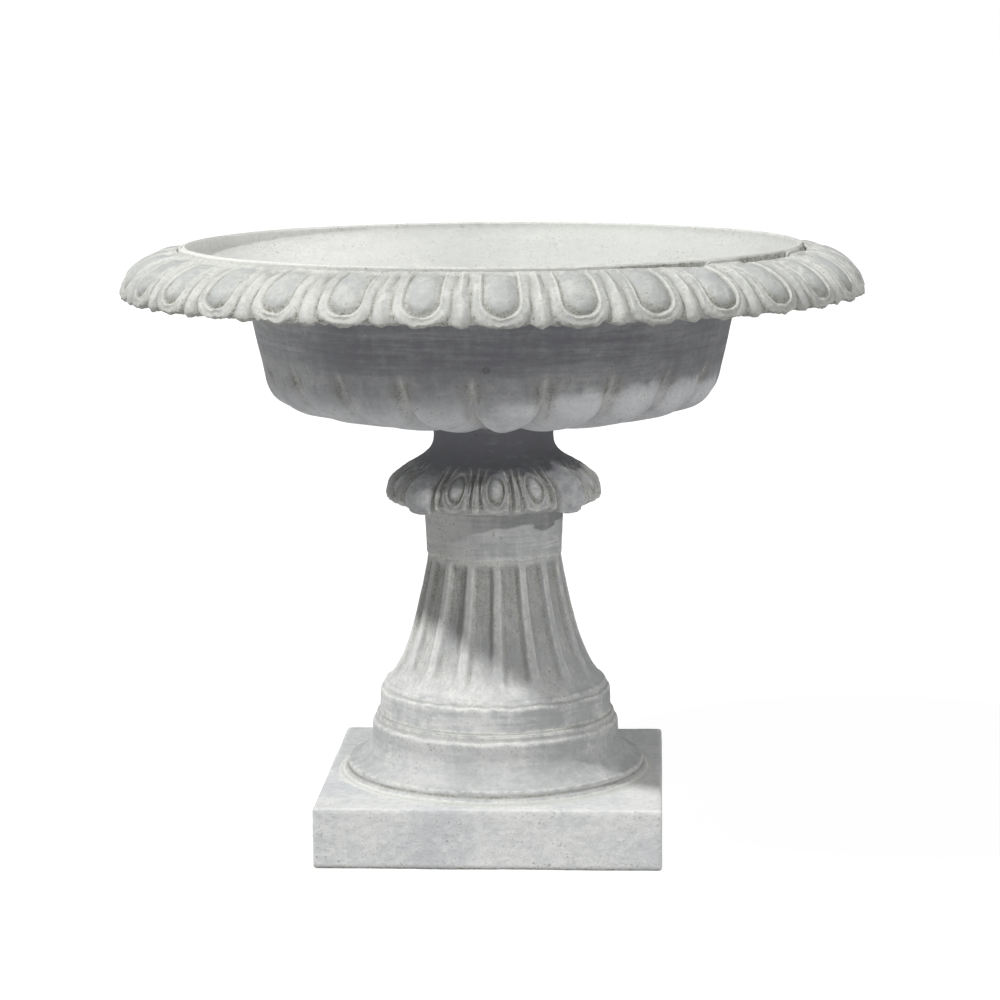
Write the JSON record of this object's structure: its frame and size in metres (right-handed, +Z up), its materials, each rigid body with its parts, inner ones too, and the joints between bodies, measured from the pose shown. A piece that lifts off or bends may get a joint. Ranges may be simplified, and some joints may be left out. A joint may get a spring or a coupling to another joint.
{
  "type": "urn",
  "caption": "Garden urn: a wide shallow gadrooned bowl with an egg-and-tongue rim, on a fluted pedestal with a moulded foot and a square plinth, clamped by a tie rod.",
  "frame": {"origin": "centre of the plinth's underside, on the ground", "axes": "+Z up the urn's middle; X and Y square to the plinth's sides, with the pictured side towards -Y"},
  "size_m": [0.5994, 0.5994, 0.4839],
  "materials": {
    "cast_stone": "matt, weathered, grey wash",
    "rim_stone": "matt, weathered, pale wash",
    "mortar": "rough",
    "steel": "zinc plated",
    "rubber": "matt"
  },
  "bodies": {
    "root": {"plinth": "cast_stone", "moulded_foot": "cast_stone", "fluted_shaft": "cast_stone", "neck_collar": "cast_stone", "bowl": "cast_stone", "rim_ring": "rim_stone", "mortar_bed_foot": "mortar", "mortar_bed_shaft": "mortar", "mortar_bed_collar": "mortar", "mortar_bed_bowl": "mortar", "mortar_bed_rim": "mortar", "front_pad": "rubber", "rear_pad": "rubber", "top_clamp_bar": "steel", "top_washer": "steel", "top_nut": "steel", "bottom_clamp_bar": "steel", "bottom_washer": "steel", "bottom_nut": "steel", "tie_rod": "steel"}
  },
  "joints": []
}
